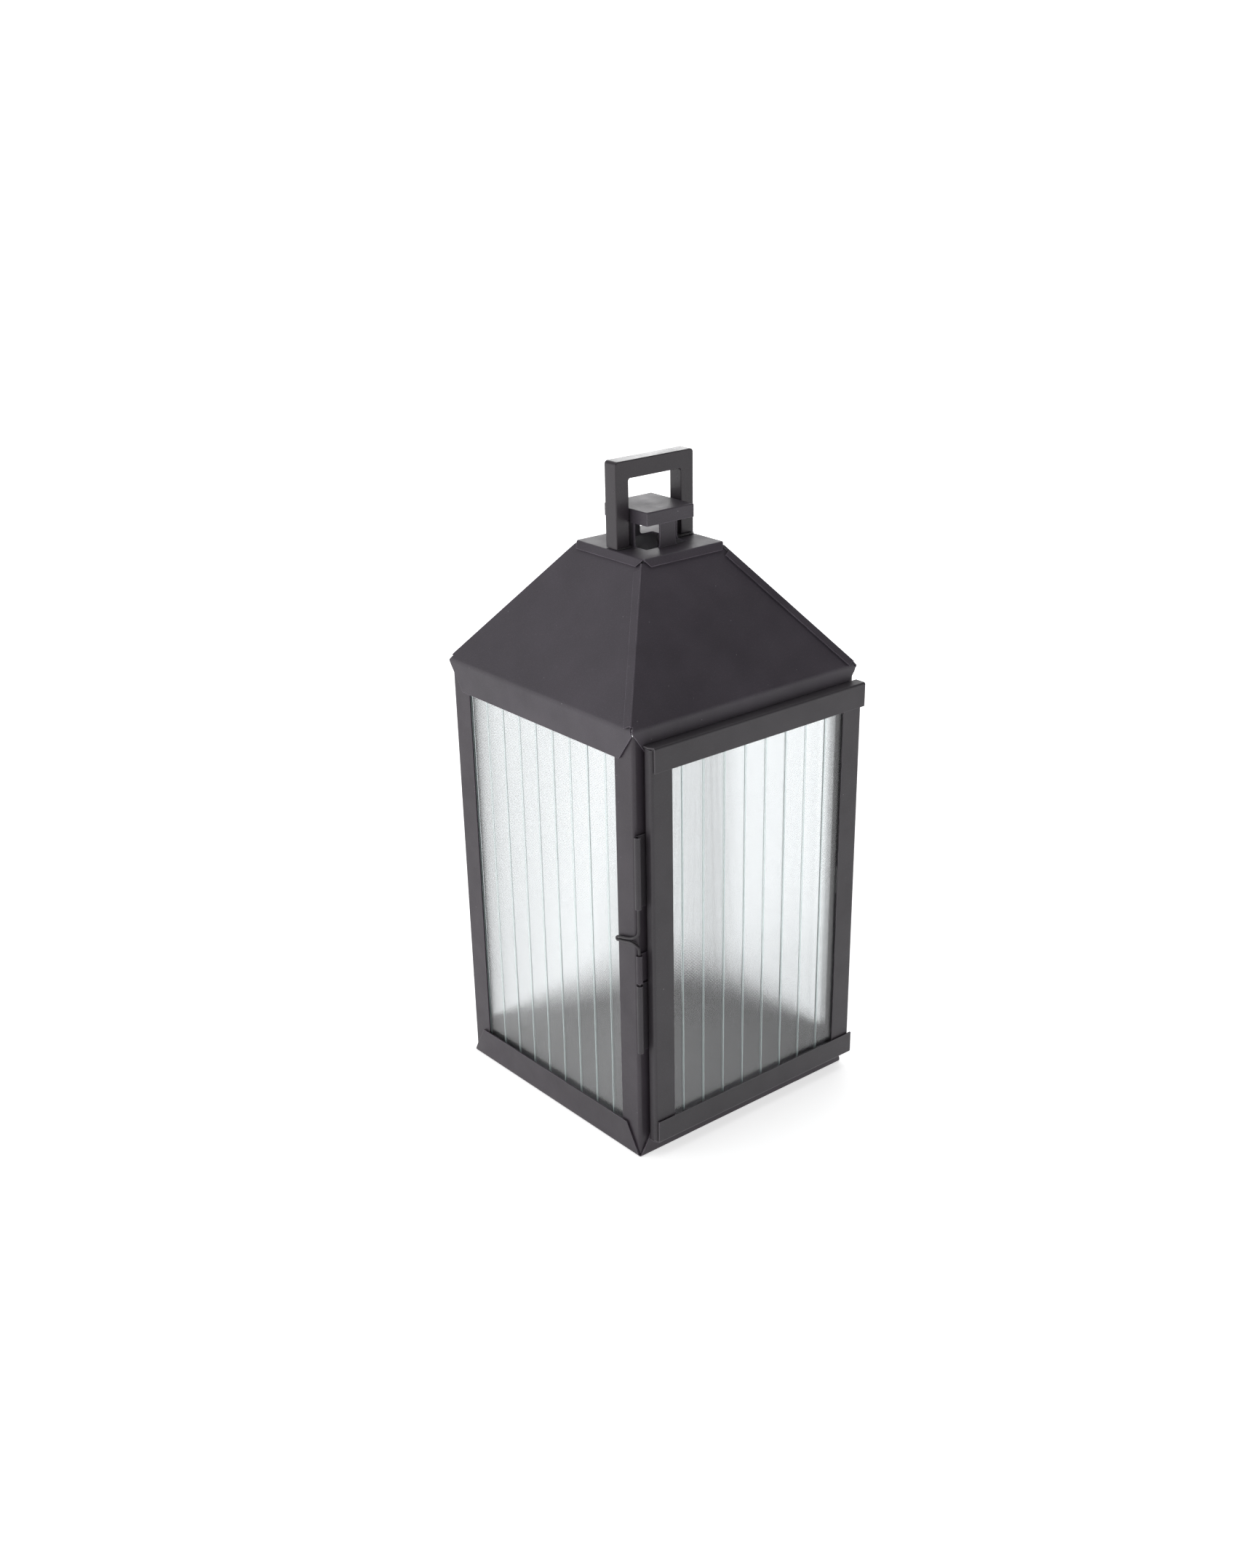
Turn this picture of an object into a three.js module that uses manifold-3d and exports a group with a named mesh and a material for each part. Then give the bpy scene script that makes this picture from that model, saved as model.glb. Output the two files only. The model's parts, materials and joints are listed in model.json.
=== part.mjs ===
// Candle lantern: a house of folded sheet steel with a hinged glass door, four ribbed panes,
// a hipped roof, a vented crown with a raised cap, and a square carrying handle.
// Millimetres, +Z up. The origin is the middle of the underside of the base, and the door faces -Y.
import * as THREE from "three";
import { mergeVertices } from "three/addons/utils/BufferGeometryUtils.js";
import Module from "manifold-3d";

const wasm = await Module();
wasm.setup();

// ---- driving dimensions ----------------------------------------------------------------------

const SHEET = 0.8; // thickness of every folded sheet
const GAP = 0.3; // clearance between pieces that lie on each other
const WELD = 0.25; // how far two solids are sunk into each other where they are joined
const BEND_STEPS = 4; // flats in one sheet bend

const POST_OUT = 74.7; // outer faces of the corner posts
const POST_FLANGE = 14.2; // width of each post flange
const SKIN_OUT = POST_OUT + GAP + SHEET; // outer faces of the base sides and of the fascia
const POST_TOP = 236;

const BASE_HEIGHT = 17.7;
const BASE_TIP_HALF = 75; // half length of a base side along its lower edge
const SKIN_INSET_HALF = 65; // half length of a base side or fascia along its edge on the glass

const EAVE_HALF = 76.2;
const EAVE_Z = 238.5;
const FASCIA_LOW_Z = 223;
const EAVE_BEND = 4;
const HIP_FLANGE_WIDTH = 5;
const HIP_FLANGE_Z = [241.2, 298.6];
const ROOF_TOP_Z = 301.2;

const CROWN_HALF = 26.4;
const CROWN_TOP_Z = 303;
const CROWN_HOLE_HALF = 13.5;
const SKIRT_LENGTH = 4.2; // along the slope
const SKIRT_END_INSET = 2.7;
const TAB_HALF = 5.1;
const TAB_FLARE = 1.6;

const CAP_HALF_X = 15.4;
const CAP_HALF_Y = 16.6;
const CAP_Z = [315.5, 322.3];
const CAP_ROUND = 0.7;

const HANDLE_HALF = 25.4;
const HANDLE_LEG = 8.3;
const HANDLE_DEPTH = 8.8;
const HANDLE_OFF_X = 0.5; // the handle was welded on this far off the middle
const HANDLE_TOP_Z = 346.4;
const HANDLE_INNER_TOP_Z = 337.4;
const HANDLE_OUTER_ROUND = 1.3;
const HANDLE_INNER_ROUND = 1.2;
const HANDLE_BEVEL = 0.6;

const GLASS = 2;
const PANE_HALF = 73.4;
const PANE_TOP_Z = 228;
const RETAINER_WIDTH = 9.3;
const RETAINER_TOP_Z = 226;

const DOOR_FRONT_Y = -83.1; // face of the door rails
const DOOR_BACK_Y = -76.1;
const DOOR_STILE_X = [-69.7, 73.9]; // outer sides of the two stiles
const DOOR_STILE_WIDTH = 13.2;
const DOOR_RAIL_X = [-68.4, 75];
const DOOR_Z = [9.5, 231.2];
const DOOR_RAIL_HEIGHT = 12.9;
const DOOR_BEND = 1.2;
const DOOR_GLASS_EDGE = 2.6; // how far the door pane stays inside the stiles' outer sides
const BACK_LIP = 8.6;
const CLIP_HEIGHT = 9;
const CLIP_Z = [34, 206];

const HINGE_X = -74.7;
const HINGE_Y = -76.75;
const WIRE_RADIUS = 0.82;
const KNUCKLE_OUT = 1.72;
const KNUCKLE_BORE = 1.0;
const LEAF_THICK = 0.66;
const LEAF_END_X = -61.8;
const DOOR_LEAF_LOW_Z = [64.8, 103.7];
const POST_LEAF_Z = [105.4, 120.8];
const DOOR_LEAF_HIGH_Z = [146.8, 185.4];

// ---- materials -------------------------------------------------------------------------------

const coat = new THREE.MeshStandardMaterial({ color: "#4b474b", roughness: 0.52, metalness: 0.1 });
const roofCoat = new THREE.MeshStandardMaterial({ color: "#48454a", roughness: 0.55, metalness: 0.1 });
const doorCoat = new THREE.MeshStandardMaterial({ color: "#454346", roughness: 0.5, metalness: 0.1 });
const ribbedGlass = new THREE.MeshStandardMaterial({
  color: "#dfe9e8",
  roughness: 0.1,
  metalness: 0,
  transparent: true,
  opacity: 0.4,
});
const magnetNickel = new THREE.MeshStandardMaterial({ color: "#8d8f92", roughness: 0.35, metalness: 0.9 });

// ---- solids ----------------------------------------------------------------------------------

// A closed three.js geometry as a manifold-3d solid.
function solid(geometry) {
  const bare = geometry.clone();
  bare.deleteAttribute("normal");
  bare.deleteAttribute("uv");
  const merged = mergeVertices(bare, 1e-4);
  return new wasm.Manifold(
    new wasm.Mesh({
      numProp: 3,
      vertProperties: merged.attributes.position.array,
      triVerts: new Uint32Array(merged.index.array),
    }),
  );
}

function geometryOf(made) {
  const mesh = made.getMesh();
  const geometry = new THREE.BufferGeometry();
  geometry.setAttribute("position", new THREE.BufferAttribute(mesh.vertProperties, 3));
  geometry.setIndex(new THREE.BufferAttribute(mesh.triVerts, 1));
  geometry.computeVertexNormals();
  return geometry;
}

function shapeOf(points) {
  return new THREE.Shape(points.map(([u, v]) => new THREE.Vector2(u, v)));
}

function extruded(shape, depth, basis, origin, options = {}) {
  const flat = { depth, bevelEnabled: false, curveSegments: 8, ...options };
  const matrix = new THREE.Matrix4().makeBasis(...basis).setPosition(...origin);
  return solid(new THREE.ExtrudeGeometry(shape, flat).applyMatrix4(matrix));
}

const X = new THREE.Vector3(1, 0, 0);
const Y = new THREE.Vector3(0, 1, 0);
const Z = new THREE.Vector3(0, 0, 1);
const MINUS_Y = new THREE.Vector3(0, -1, 0);

// Prisms: a shape drawn in YZ, XZ or XY, pushed from one coordinate to the other along X, Y or Z.
const alongX = (shape, from, to) => extruded(shape, to - from, [Y, Z, X], [from, 0, 0]);
const alongY = (shape, from, to, options) => extruded(shape, to - from, [X, Z, MINUS_Y], [0, to, 0], options);
const alongZ = (shape, from, to, options) => extruded(shape, to - from, [X, Y, Z], [0, 0, from], options);

const slab = ([x0, x1], [y0, y1], [z0, z1]) =>
  alongZ(shapeOf([[x0, y0], [x1, y0], [x1, y1], [x0, y1]]), z0, z1);

// The section of a sheet folded along a centre line, with a round bend at each inner point.
function foldedSheet(points, bend, thickness = SHEET) {
  const half = thickness / 2;
  const left = [];
  const right = [];
  const lay = (at, direction) => {
    left.push([at.x - direction.y * half, at.y + direction.x * half]);
    right.push([at.x + direction.y * half, at.y - direction.x * half]);
  };
  const line = points.map(([u, v]) => new THREE.Vector2(u, v));
  const heading = (i) => line[i + 1].clone().sub(line[i]).normalize();
  lay(line[0], heading(0));
  for (let i = 1; i < line.length - 1; i++) {
    const incoming = heading(i - 1);
    const turn = Math.atan2(incoming.cross(heading(i)), incoming.dot(heading(i)));
    const start = line[i].clone().addScaledVector(incoming, -bend * Math.tan(Math.abs(turn) / 2));
    const inward = new THREE.Vector2(-incoming.y, incoming.x).multiplyScalar(bend * Math.sign(turn));
    const centre = start.clone().add(inward);
    for (let step = 0; step <= BEND_STEPS; step++) {
      const angle = (turn * step) / BEND_STEPS;
      const at = start.clone().rotateAround(centre, angle);
      lay(at, incoming.clone().rotateAround(new THREE.Vector2(0, 0), angle));
    }
  }
  lay(line[line.length - 1], heading(line.length - 2));
  return shapeOf([...left, ...right.reverse()]);
}

// A turn about the vertical axis in quarter turns, from the -Y side towards +X.
const quarterTurned = (made, quarters) => made.rotate([0, 0, 90 * quarters]);

// ---- base ------------------------------------------------------------------------------------

// One upturned side of the base on -Y, with a strip of floor, and with both ends cut back to the corner.
function baseSide() {
  const mid = SKIN_OUT - SHEET / 2;
  const section = foldedSheet([[-40, SHEET / 2], [-mid, SHEET / 2], [-mid, BASE_HEIGHT]], 1);
  const slope = (BASE_TIP_HALF - SKIN_INSET_HALF) / BASE_HEIGHT;
  const halfAt = (z) => BASE_TIP_HALF - slope * z;
  const ends = shapeOf([[-halfAt(-1), -1], [halfAt(-1), -1], [halfAt(20), 20], [-halfAt(20), 20]]);
  return alongX(section, -SKIN_OUT, SKIN_OUT).intersect(alongY(ends, -90, 0));
}

function baseTray() {
  let made = slab([-60, 60], [-60, 60], [0, SHEET]);
  for (let quarter = 0; quarter < 4; quarter++) made = made.add(quarterTurned(baseSide(), quarter));
  return made;
}

// ---- corner posts ----------------------------------------------------------------------------

function cornerPost() {
  const mid = -POST_OUT + SHEET / 2;
  const end = -POST_OUT + POST_FLANGE;
  const section = foldedSheet([[mid, end], [mid, mid], [end, mid]], 1.4);
  return alongZ(section, SHEET + GAP, POST_TOP);
}

// ---- roof ------------------------------------------------------------------------------------

// The outer surface of each roof slope is the plane through the eave, with a normal that leans
// outward by slopeSin and upward by slopeCos.
const outerSkirt = SHEET + GAP; // the crown's skirts lie this far above the slope
const slopeAngle = crownSlope();
const slopeSin = Math.sin(slopeAngle);
const slopeCos = Math.cos(slopeAngle);
const planeHeight = EAVE_HALF * slopeSin + EAVE_Z * slopeCos;

// The angle whose slope, raised by the skirt, meets the edge of the crown's top.
function crownSlope() {
  const run = EAVE_HALF - CROWN_HALF;
  const rise = CROWN_TOP_Z - EAVE_Z;
  return Math.atan2(rise, run) - Math.asin(outerSkirt / Math.hypot(run, rise));
}

// Distance from the middle to a slope raised by offset, at height z.
const slopeReach = (z, offset = 0) => (planeHeight + offset - z * slopeCos) / slopeSin;

// The slope on -Y, folded down at the eave into the fascia.
function roofSheet() {
  const mid = SKIN_OUT - SHEET / 2;
  const foldZ = (planeHeight - SHEET / 2 - mid * slopeSin) / slopeCos;
  const length = 90;
  const top = [-(mid - length * slopeCos), foldZ + length * slopeSin];
  const section = foldedSheet([[-mid, FASCIA_LOW_Z], [-mid, foldZ], top], EAVE_BEND);
  return alongX(section, -90, 90);
}

// What the hips and the mitred fascia leave of it: it laps over the slope on -X, and tucks under
// the one on +X. The lowest stretch of each hip stays open.
function roofOutline() {
  const lapZ = HIP_FLANGE_Z[0] - GAP;
  const low = FASCIA_LOW_Z - 1;
  const bendZ = EAVE_Z - 2;
  const mitre = (POST_OUT - SKIN_INSET_HALF) / (bendZ - FASCIA_LOW_Z);
  const mitreHalf = (z) => SKIN_INSET_HALF + mitre * (z - FASCIA_LOW_Z);
  const open = -0.2;
  const lap = outerSkirt;
  const inBend = 0.7; // the neighbour's round eave takes this much more room
  return shapeOf([
    [-mitreHalf(low), low],
    [mitreHalf(low), low],
    [mitreHalf(bendZ), bendZ],
    [slopeReach(EAVE_Z, -lap) - inBend, EAVE_Z],
    [slopeReach(lapZ, -lap), lapZ],
    [slopeReach(ROOF_TOP_Z, -lap), ROOF_TOP_Z],
    [-slopeReach(ROOF_TOP_Z, lap - WELD), ROOF_TOP_Z],
    [-slopeReach(lapZ, lap - WELD), lapZ],
    [-slopeReach(lapZ, open), lapZ],
    [-slopeReach(EAVE_Z, open), EAVE_Z],
    [-mitreHalf(bendZ), bendZ],
  ]);
}

// The flange that lies on the slope on -X, along the hip.
function hipFlange() {
  const [lowS, highS] = HIP_FLANGE_Z.map((z) => (z - EAVE_Z) / slopeSin);
  const norm = Math.hypot(slopeCos, 1);
  const point = (s, across) => [
    EAVE_HALF - s * slopeCos - across / norm,
    s - (across * slopeCos) / norm,
  ];
  const outline = shapeOf([
    point(lowS, -3),
    point(lowS, HIP_FLANGE_WIDTH),
    point(highS, HIP_FLANGE_WIDTH),
    point(highS, -3),
  ]);
  const up = new THREE.Vector3(slopeCos, 0, slopeSin);
  const normal = new THREE.Vector3(-slopeSin, 0, slopeCos);
  const origin = new THREE.Vector3(-EAVE_HALF, 0, EAVE_Z).addScaledVector(normal, GAP);
  const flange = extruded(outline, SHEET, [MINUS_Y, up, normal], origin.toArray());
  const under = shapeOf([
    [-slopeReach(230, -WELD), 230],
    [0, 230],
    [0, 310],
    [-slopeReach(310, -WELD), 310],
  ]);
  return flange.intersect(alongX(under, -90, 90));
}

function roofPanel() {
  return roofSheet().intersect(alongY(roofOutline(), -90, 0)).add(hipFlange());
}

// ---- crown, cap and handle -------------------------------------------------------------------

// One edge of the crown on -Y: a strip of its top, folded down to lie along the slope.
function crownSkirt() {
  const mid = CROWN_TOP_Z - SHEET / 2;
  const foldY = slopeReach(mid, outerSkirt - SHEET / 2);
  const lowY = foldY + SKIRT_LENGTH * slopeCos;
  const lowZ = mid - SKIRT_LENGTH * slopeSin;
  const section = foldedSheet([[-20, mid], [-foldY, mid], [-lowY, lowZ]], 0.6);
  const endHalf = CROWN_HALF - 0.7;
  const ends = shapeOf([
    [-endHalf, CROWN_TOP_Z + 1],
    [-endHalf, CROWN_TOP_Z - SHEET],
    [-endHalf + SKIRT_END_INSET, lowZ - 0.5],
    [endHalf - SKIRT_END_INSET, lowZ - 0.5],
    [endHalf, CROWN_TOP_Z - SHEET],
    [endHalf, CROWN_TOP_Z + 1],
  ]);
  return alongX(section, -CROWN_HALF, CROWN_HALF).intersect(alongY(ends, -60, 0));
}

// One tab bent up from the -Y side of the hole, spreading at its foot.
function crownTab() {
  const foot = CROWN_TOP_Z - SHEET;
  const flareTop = CROWN_TOP_Z + TAB_FLARE;
  const top = CAP_Z[1] - SHEET - GAP;
  const shape = new THREE.Shape();
  shape.moveTo(-TAB_HALF - TAB_FLARE, foot);
  shape.lineTo(TAB_HALF + TAB_FLARE, foot);
  shape.lineTo(TAB_HALF + TAB_FLARE, CROWN_TOP_Z);
  shape.absarc(TAB_HALF + TAB_FLARE, flareTop, TAB_FLARE, -Math.PI / 2, -Math.PI, true);
  shape.lineTo(TAB_HALF, top);
  shape.lineTo(-TAB_HALF, top);
  shape.absarc(-TAB_HALF - TAB_FLARE, flareTop, TAB_FLARE, 0, -Math.PI / 2, true);
  shape.lineTo(-TAB_HALF - TAB_FLARE, foot);
  return alongY(shape, -CROWN_HOLE_HALF - SHEET, -CROWN_HOLE_HALF, { curveSegments: 4 });
}

function crownPlate() {
  const inner = CROWN_HALF - 2;
  const z = [CROWN_TOP_Z - SHEET, CROWN_TOP_Z];
  let made = slab([-inner, inner], [-inner, inner], z);
  for (let quarter = 0; quarter < 4; quarter++) made = made.add(quarterTurned(crownSkirt(), quarter));
  const hole = [-CROWN_HOLE_HALF, CROWN_HOLE_HALF];
  made = made.subtract(slab(hole, hole, [CROWN_TOP_Z - 5, CROWN_TOP_Z + 5]));
  for (let quarter = 0; quarter < 4; quarter++) made = made.add(quarterTurned(crownTab(), quarter));
  return made;
}

// A shallow box, open below, with a soft edge round its top.
function ventCap() {
  const [low, high] = CAP_Z;
  const x = CAP_HALF_X - CAP_ROUND;
  const y = CAP_HALF_Y - CAP_ROUND;
  const outline = shapeOf([[-x, -y], [x, -y], [x, y], [-x, y]]);
  const rounding = {
    bevelEnabled: true,
    bevelSize: CAP_ROUND,
    bevelThickness: CAP_ROUND,
    bevelSegments: 3,
  };
  const outer = alongZ(outline, low - 3, high - CAP_ROUND, rounding);
  const below = slab([-30, 30], [-30, 30], [low - 10, low]);
  const innerX = CAP_HALF_X - SHEET;
  const innerY = CAP_HALF_Y - SHEET;
  const inside = slab([-innerX, innerX], [-innerY, innerY], [low - 5, high - SHEET]);
  return outer.subtract(below).subtract(inside);
}

// The square arch of the handle, in the XZ plane, drawn smaller by the bevel that is put round it.
function handleOutline() {
  const outer = HANDLE_HALF - HANDLE_BEVEL;
  const inner = HANDLE_HALF - HANDLE_LEG + HANDLE_BEVEL;
  const top = HANDLE_TOP_Z - HANDLE_BEVEL;
  const under = HANDLE_INNER_TOP_Z + HANDLE_BEVEL;
  const foot = CROWN_TOP_Z - 5;
  const big = HANDLE_OUTER_ROUND;
  const small = HANDLE_INNER_ROUND + HANDLE_BEVEL;
  const shape = new THREE.Shape();
  shape.moveTo(-outer, foot);
  shape.lineTo(-inner, foot);
  shape.lineTo(-inner, under - small);
  shape.absarc(-inner + small, under - small, small, Math.PI, Math.PI / 2, true);
  shape.lineTo(inner - small, under);
  shape.absarc(inner - small, under - small, small, Math.PI / 2, 0, true);
  shape.lineTo(inner, foot);
  shape.lineTo(outer, foot);
  shape.lineTo(outer, top - big);
  shape.absarc(outer - big, top - big, big, 0, Math.PI / 2, false);
  shape.lineTo(-outer + big, top);
  shape.absarc(-outer + big, top - big, big, Math.PI / 2, Math.PI, false);
  shape.closePath();
  return shape;
}

function handle() {
  const half = HANDLE_DEPTH / 2 - HANDLE_BEVEL;
  const rounding = {
    bevelEnabled: true,
    bevelSize: HANDLE_BEVEL,
    bevelThickness: HANDLE_BEVEL,
    bevelSegments: 3,
    curveSegments: 4,
  };
  const arch = alongY(handleOutline(), -half, half, rounding);
  const cut = arch.subtract(slab([-40, 40], [-20, 20], [CROWN_TOP_Z - 20, CROWN_TOP_Z + GAP]));
  return cut.translate([HANDLE_OFF_X, 0, 0]);
}

// ---- fixed glass -----------------------------------------------------------------------------

const paneOut = POST_OUT - SHEET - GAP; // outer face of each fixed pane
const paneIn = paneOut - GLASS;
const backPaneIn = paneIn - GAP;

const sidePane = () => slab([-paneOut, -paneIn], [-PANE_HALF, backPaneIn], [SHEET + GAP, PANE_TOP_Z]);
const backPane = () => slab([-PANE_HALF, PANE_HALF], [paneIn, paneOut], [SHEET + GAP, PANE_TOP_Z]);

// An angle that holds the edges of the panes against a post, drawn for the back left corner.
function backRetainer() {
  const mid = backPaneIn - SHEET / 2;
  const end = backPaneIn - RETAINER_WIDTH;
  const section = foldedSheet([[-mid, end], [-mid, mid], [-end, mid]], 0.6);
  return alongZ(section, SHEET + GAP, RETAINER_TOP_Z);
}

// The front left one, whose second leg lies along the inside of the post's front flange.
function frontRetainer() {
  const mid = backPaneIn - SHEET / 2;
  const front = PANE_HALF - 0.2 - SHEET / 2;
  const end = backPaneIn - RETAINER_WIDTH;
  const section = foldedSheet([[-mid, -end], [-mid, -front], [-end, -front]], 0.6);
  return alongZ(section, SHEET + GAP, RETAINER_TOP_Z);
}

// ---- door ------------------------------------------------------------------------------------

const stileFront = DOOR_FRONT_Y + SHEET + GAP; // front faces of the stiles, behind the rails
const doorGlassFront = stileFront + SHEET + GAP;
const doorGlassBack = doorGlassFront + GLASS;
const innerZ = [DOOR_Z[0] + SHEET + GAP, DOOR_Z[1] - SHEET - GAP];

// A stile: front face, outer side with round edges, and a lip behind. side is -1 left and 1 right.
function doorStile(side) {
  const outer = DOOR_STILE_X[side < 0 ? 0 : 1] - (side * SHEET) / 2;
  const front = stileFront + SHEET / 2;
  const back = DOOR_BACK_Y - SHEET / 2;
  const inner = outer - side * (DOOR_STILE_WIDTH - SHEET / 2);
  const lip = outer - side * BACK_LIP;
  const section = foldedSheet([[inner, front], [outer, front], [outer, back], [lip, back]], DOOR_BEND);
  return alongZ(section, ...innerZ);
}

// A rail on the outside of the stiles. side is 1 for the top rail and -1 for the bottom one.
function doorRail(side) {
  const edge = DOOR_Z[side < 0 ? 0 : 1];
  const flange = edge - (side * SHEET) / 2;
  const front = DOOR_FRONT_Y + SHEET / 2;
  const section = foldedSheet(
    [[front, edge - side * DOOR_RAIL_HEIGHT], [front, flange], [DOOR_BACK_Y - GAP, flange]],
    0.7,
  );
  const [left, right] = DOOR_RAIL_X;
  const side0 = DOOR_STILE_X[0];
  const trim = shapeOf([
    [left - 6, DOOR_FRONT_Y - 1],
    [left, DOOR_FRONT_Y - 1],
    [left, stileFront - GAP / 2],
    [side0, stileFront + 2.4],
    [side0, DOOR_BACK_Y + 1],
    [left - 6, DOOR_BACK_Y + 1],
  ]);
  return alongX(section, left - 4, right).subtract(alongZ(trim, -5, 250));
}

function doorPane() {
  const [left, right] = DOOR_STILE_X;
  const x = [left + DOOR_GLASS_EDGE, right - DOOR_GLASS_EDGE];
  return slab(x, [doorGlassFront, doorGlassBack], [innerZ[0] + GAP, innerZ[1] - GAP]);
}

// A small angle inside a stile that presses the pane forward.
function doorGlassClip(side, z) {
  const outer = DOOR_STILE_X[side < 0 ? 0 : 1] - side * (SHEET + GAP + SHEET / 2);
  const back = doorGlassBack + GAP + SHEET / 2;
  const rest = DOOR_BACK_Y - SHEET - GAP;
  const section = foldedSheet([[outer - side * 9, back], [outer, back], [outer, rest]], 0.5);
  return alongZ(section, z - CLIP_HEIGHT / 2, z + CLIP_HEIGHT / 2);
}

// A flat magnet in the free stile that draws the closed door to the post.
function doorMagnet() {
  const right = DOOR_STILE_X[1];
  return slab([right - 10.6, right - 2.4], [doorGlassBack + GAP, DOOR_BACK_Y - SHEET - GAP], [112, 128]);
}

// ---- hinge -----------------------------------------------------------------------------------

// A leaf of sheet rolled round the hinge axis at one edge.
function hingeLeaf([low, high]) {
  const ring = new THREE.Shape().absarc(HINGE_X, HINGE_Y, KNUCKLE_OUT, 0, 2 * Math.PI);
  ring.holes.push(new THREE.Path().absarc(HINGE_X, HINGE_Y, KNUCKLE_BORE, 0, 2 * Math.PI));
  const back = HINGE_Y + KNUCKLE_OUT - 0.02;
  const leaf = slab([HINGE_X, LEAF_END_X], [back - LEAF_THICK, back], [low, high]);
  return alongZ(ring, low, high, { curveSegments: 10 }).add(leaf);
}

// The spring wire that is the hinge's pin: it leaves the knuckles in a hairpin, which bends round
// the corner of the post and lies on its side, sloping down towards the glass.
function hingeWire() {
  const outX = -POST_OUT - GAP - WIRE_RADIUS;
  const at = (x, y, z) => new THREE.Vector3(x, y, z);
  const lowRun = [at(HINGE_X, HINGE_Y, DOOR_LEAF_LOW_Z[0] + 1), at(HINGE_X, HINGE_Y, POST_LEAF_Z[1] + 0.9)];
  const highRun = [
    at(HINGE_X, HINGE_Y, DOOR_LEAF_HIGH_Z[0] - 9.5),
    at(HINGE_X, HINGE_Y, DOOR_LEAF_HIGH_Z[1] - 1),
  ];
  const hairpin = new THREE.CatmullRomCurve3(
    [
      lowRun[1],
      at(HINGE_X - 0.15, HINGE_Y, 123.6),
      at(HINGE_X - 0.7, HINGE_Y + 0.5, 126),
      at(outX, -74.2, 127.5),
      at(outX, -71, 127.4),
      at(outX, -66.4, 126),
      at(outX, -62.2, 124.6),
      at(outX, -60.9, 124.7),
      at(outX, -60.6, 125.9),
      at(outX, -61.7, 126.9),
      at(outX, -66.4, 128.4),
      at(outX, -71.6, 130.1),
      at(outX, -74.1, 131.2),
      at(HINGE_X - 0.8, HINGE_Y + 0.7, 133),
      at(HINGE_X - 0.1, HINGE_Y, 135),
      highRun[0],
    ],
    false,
    "centripetal",
  );
  const path = new THREE.CurvePath();
  path.add(new THREE.LineCurve3(...lowRun));
  path.add(hairpin);
  path.add(new THREE.LineCurve3(...highRun));
  const section = new THREE.Shape().absarc(0, 0, WIRE_RADIUS, 0, 2 * Math.PI);
  return solid(new THREE.ExtrudeGeometry(section, { extrudePath: path, steps: 96, curveSegments: 5 }));
}

// ---- assembly --------------------------------------------------------------------------------

const lantern = new THREE.Group();

function place(name, made, material) {
  const mesh = new THREE.Mesh(geometryOf(made), material);
  mesh.name = name;
  lantern.add(mesh);
}

const CORNERS = ["front_left", "front_right", "back_right", "back_left"];
const SIDES = ["front", "right", "back", "left"];

place("base_tray", baseTray(), coat);
CORNERS.forEach((corner, quarter) => {
  place(`corner_post_${corner}`, quarterTurned(cornerPost(), quarter), coat);
});
SIDES.forEach((side, quarter) => {
  place(`roof_panel_${side}`, quarterTurned(roofPanel(), quarter), roofCoat);
});
place("crown_plate", crownPlate(), roofCoat);
place("vent_cap", ventCap(), roofCoat);
place("carrying_handle", handle(), coat);

place("side_pane_left", sidePane(), ribbedGlass);
place("side_pane_right", sidePane().mirror([1, 0, 0]), ribbedGlass);
place("back_pane", backPane(), ribbedGlass);
place("glass_retainer_front_left", frontRetainer(), coat);
place("glass_retainer_front_right", frontRetainer().mirror([1, 0, 0]), coat);
place("glass_retainer_back_left", backRetainer(), coat);
place("glass_retainer_back_right", backRetainer().mirror([1, 0, 0]), coat);

place("door_stile_hinge_side", doorStile(-1), doorCoat);
place("door_stile_free_side", doorStile(1), doorCoat);
place("door_rail_top", doorRail(1), doorCoat);
place("door_rail_bottom", doorRail(-1), doorCoat);
place("door_pane", doorPane(), ribbedGlass);
for (const [side, word] of [[-1, "hinge"], [1, "free"]]) {
  CLIP_Z.forEach((z, i) => {
    place(`door_glass_clip_${word}_${i === 0 ? "low" : "high"}`, doorGlassClip(side, z), doorCoat);
  });
}
place("door_magnet", doorMagnet(), magnetNickel);

place("hinge_leaf_door_low", hingeLeaf(DOOR_LEAF_LOW_Z), doorCoat);
place("hinge_leaf_door_high", hingeLeaf(DOOR_LEAF_HIGH_Z), doorCoat);
place("hinge_leaf_post", hingeLeaf(POST_LEAF_Z), coat);
place("hinge_wire", hingeWire(), coat);

export default lantern;
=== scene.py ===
# The looks of the candle lantern: folded, powder-coated sheet steel and ribbed glass, built round
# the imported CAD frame. Metres, +Z up, the door on -Y.
import json
import math

import bmesh
import bpy
from mathutils import Matrix, Vector

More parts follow.
